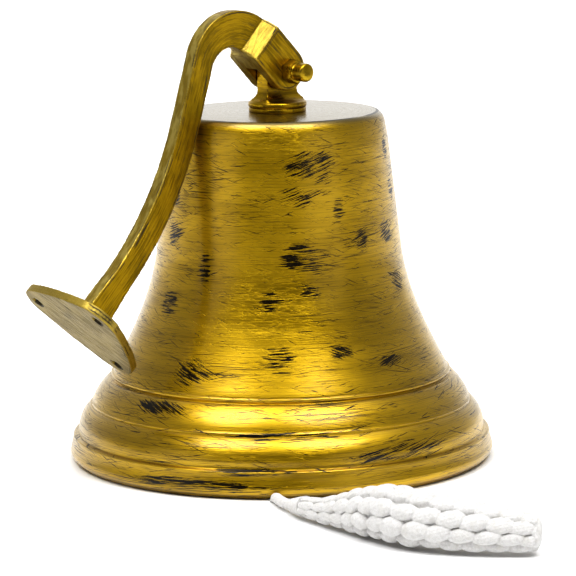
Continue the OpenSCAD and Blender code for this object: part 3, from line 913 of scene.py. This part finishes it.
def knuckles(gone, a, table):
    """Height and place across the strand of the knuckles at a length and an angle, as arrays.

    table holds each knuckle's plumpness, shift along the braid and turn, by column and row.
    """
    best = np.zeros_like(gone)
    strand = np.zeros_like(gone)
    cos, sin = math.cos(KNUCKLE_LEAN), math.sin(KNUCKLE_LEAN)
    rows = table.shape[1]
    for column in range(COLUMNS):
        across = (a / (2 * math.pi) * COLUMNS - column + COLUMNS / 2) % COLUMNS - COLUMNS / 2
        close = np.abs(across) < 0.9
        for row in range(rows):
            plump, shift, turn = table[column, row]
            along = gone / KNUCKLE_PITCH - row - 0.5 * (column % 2) - shift
            here = close & (np.abs(along) < 0.9)
            u = along * cos + across * sin + turn * across
            v = -along * sin + across * cos
            inside = np.clip(1 - (u / KNUCKLE_LONG) ** 2 - (v / (KNUCKLE_SHORT * plump)) ** 2, 0, 1)
            height = np.where(here, np.sqrt(inside) * (1 + 0.16 * u / KNUCKLE_LONG) * plump, 0)
            top = height > best
            best = np.where(top, height, best)
            strand = np.where(top, v * 5.5 + 0.6 * u, strand)
    return best, strand


def make_body():
    """The fat braid: eight columns of leaning knuckles round a core, in one skin."""
    line = smooth_route(BODY_ROUTE, 38)
    rings = frames_of(line)
    sides = 200
    total = length_of(line)
    gone = np.concatenate([[0], np.cumsum([(b - a).length for a, b in zip(line, line[1:])])])
    angle = np.linspace(0, 2 * math.pi, sides, endpoint=False)
    along, around = np.meshgrid(gone, angle, indexing="ij")
    rng = np.random.default_rng(7)
    rows = int(total / KNUCKLE_PITCH) + 3
    table = np.stack([rng.uniform(low, high, (COLUMNS, rows))
                      for low, high in ((0.88, 1.12), (-0.10, 0.10), (-0.16, 0.16))], 2)
    turned = 0.35             # which way round the columns start
    height, strand = knuckles(along, around + turned, table)
    yarn = 0.5 + 0.5 * np.cos(2 * math.pi * strand)
    envelope = np.array([braid_r(s / total) for s in gone])[:, None]
    relief = RELIEF * envelope
    yarn_relief = 0.00016 * yarn * (height > 0.1)
    radius = envelope * 1.02 - relief + relief * height**0.85 + yarn_relief
    place = np.array([r[0] for r in rings])[:, None]
    side = np.array([r[1] for r in rings])[:, None]
    up = np.array([r[2] for r in rings])[:, None]
    outwards = side * np.cos(around)[..., None] + up * np.sin(around)[..., None]
    points = place + outwards * radius[..., None]
    points[..., 2] = np.maximum(points[..., 2], REST_Z)
    faces = tube_faces(len(line), sides)
    body = piece("braid", points.reshape(-1, 3), faces, "bell", "lanyard_body", COTTON_SMOOTH)
    return body, line


def make_end_knot():
    """The braid's end: its strands tucked back over the end in a low round crown."""
    end = Vector(BODY_ROUTE[-1]) * MM
    reach = Vector(END_REACH) * MM
    ahead = reach.normalized()
    side = ahead.cross(Vector((0, 0, 1))).normalized()
    up = side.cross(ahead)
    rings, sides, lobes, lobe_height = 60, 160, 4, 0.0007
    inset, sunk = 0.5 * MM, 0.0008         # how far it starts inside the braid's skin and end
    verts = []
    for i in range(rings):
        t = i / (rings - 1)
        bend = t * math.pi / 2
        for k in range(sides):
            a = 2 * math.pi * k / sides
            fade = math.sin(min(1, 1.6 * t) * math.pi)
            lobe = math.cos(lobes * (a + 0.9 * t)) * fade * lobe_height
            r = (END_R * MM - inset) * math.cos(bend) ** 0.6 + lobe
            tip = reach.length * math.sin(bend) + lobe * 0.6
            outwards = side * math.cos(a) + up * math.sin(a)
            point = end - ahead * sunk + outwards * max(r, 0.0001) + ahead * tip
            verts.append(Vector((point.x, point.y, max(point.z, REST_Z))))
    return piece("end_knot", verts, tube_faces(rings, sides), "bell", "lanyard_end_knot", COTTON_SMOOTH)


def make_tail_knot():
    """The stopper knot behind the clapper's tail eye, with the cord that comes through the eye."""
    start, knot_y, knot_r, eye_z = -3.2, 7.6, 4.4, 10.5
    line = smooth_route([(0, start, eye_z), (0, 4, eye_z), (0, 11.9, eye_z)], 40)

    def radius(gone, a, _):
        y = start + gone / MM
        cord = TAIL_CORD_R + 0.12 * math.cos(3 * a - y * 1.6)
        round_ = math.sqrt(max(0.0, knot_r**2 - (y - knot_y)**2))
        turns = abs(math.sin(1.5 * a + 1.1 * (y - knot_y)))
        ball = round_ * (0.90 + 0.10 * turns**0.6)
        return max(cord if y < knot_y else 0.0, ball, 0.3) * MM

    verts, faces = swept(line, radius, 72)
    return piece("tail_knot_ball", verts, faces, "clapper", "tail_knot", COTTON_SMOOTH)


make_neck()
whipping = make_whipping()
end_knot = make_end_knot()
braid, braid_line = make_body()
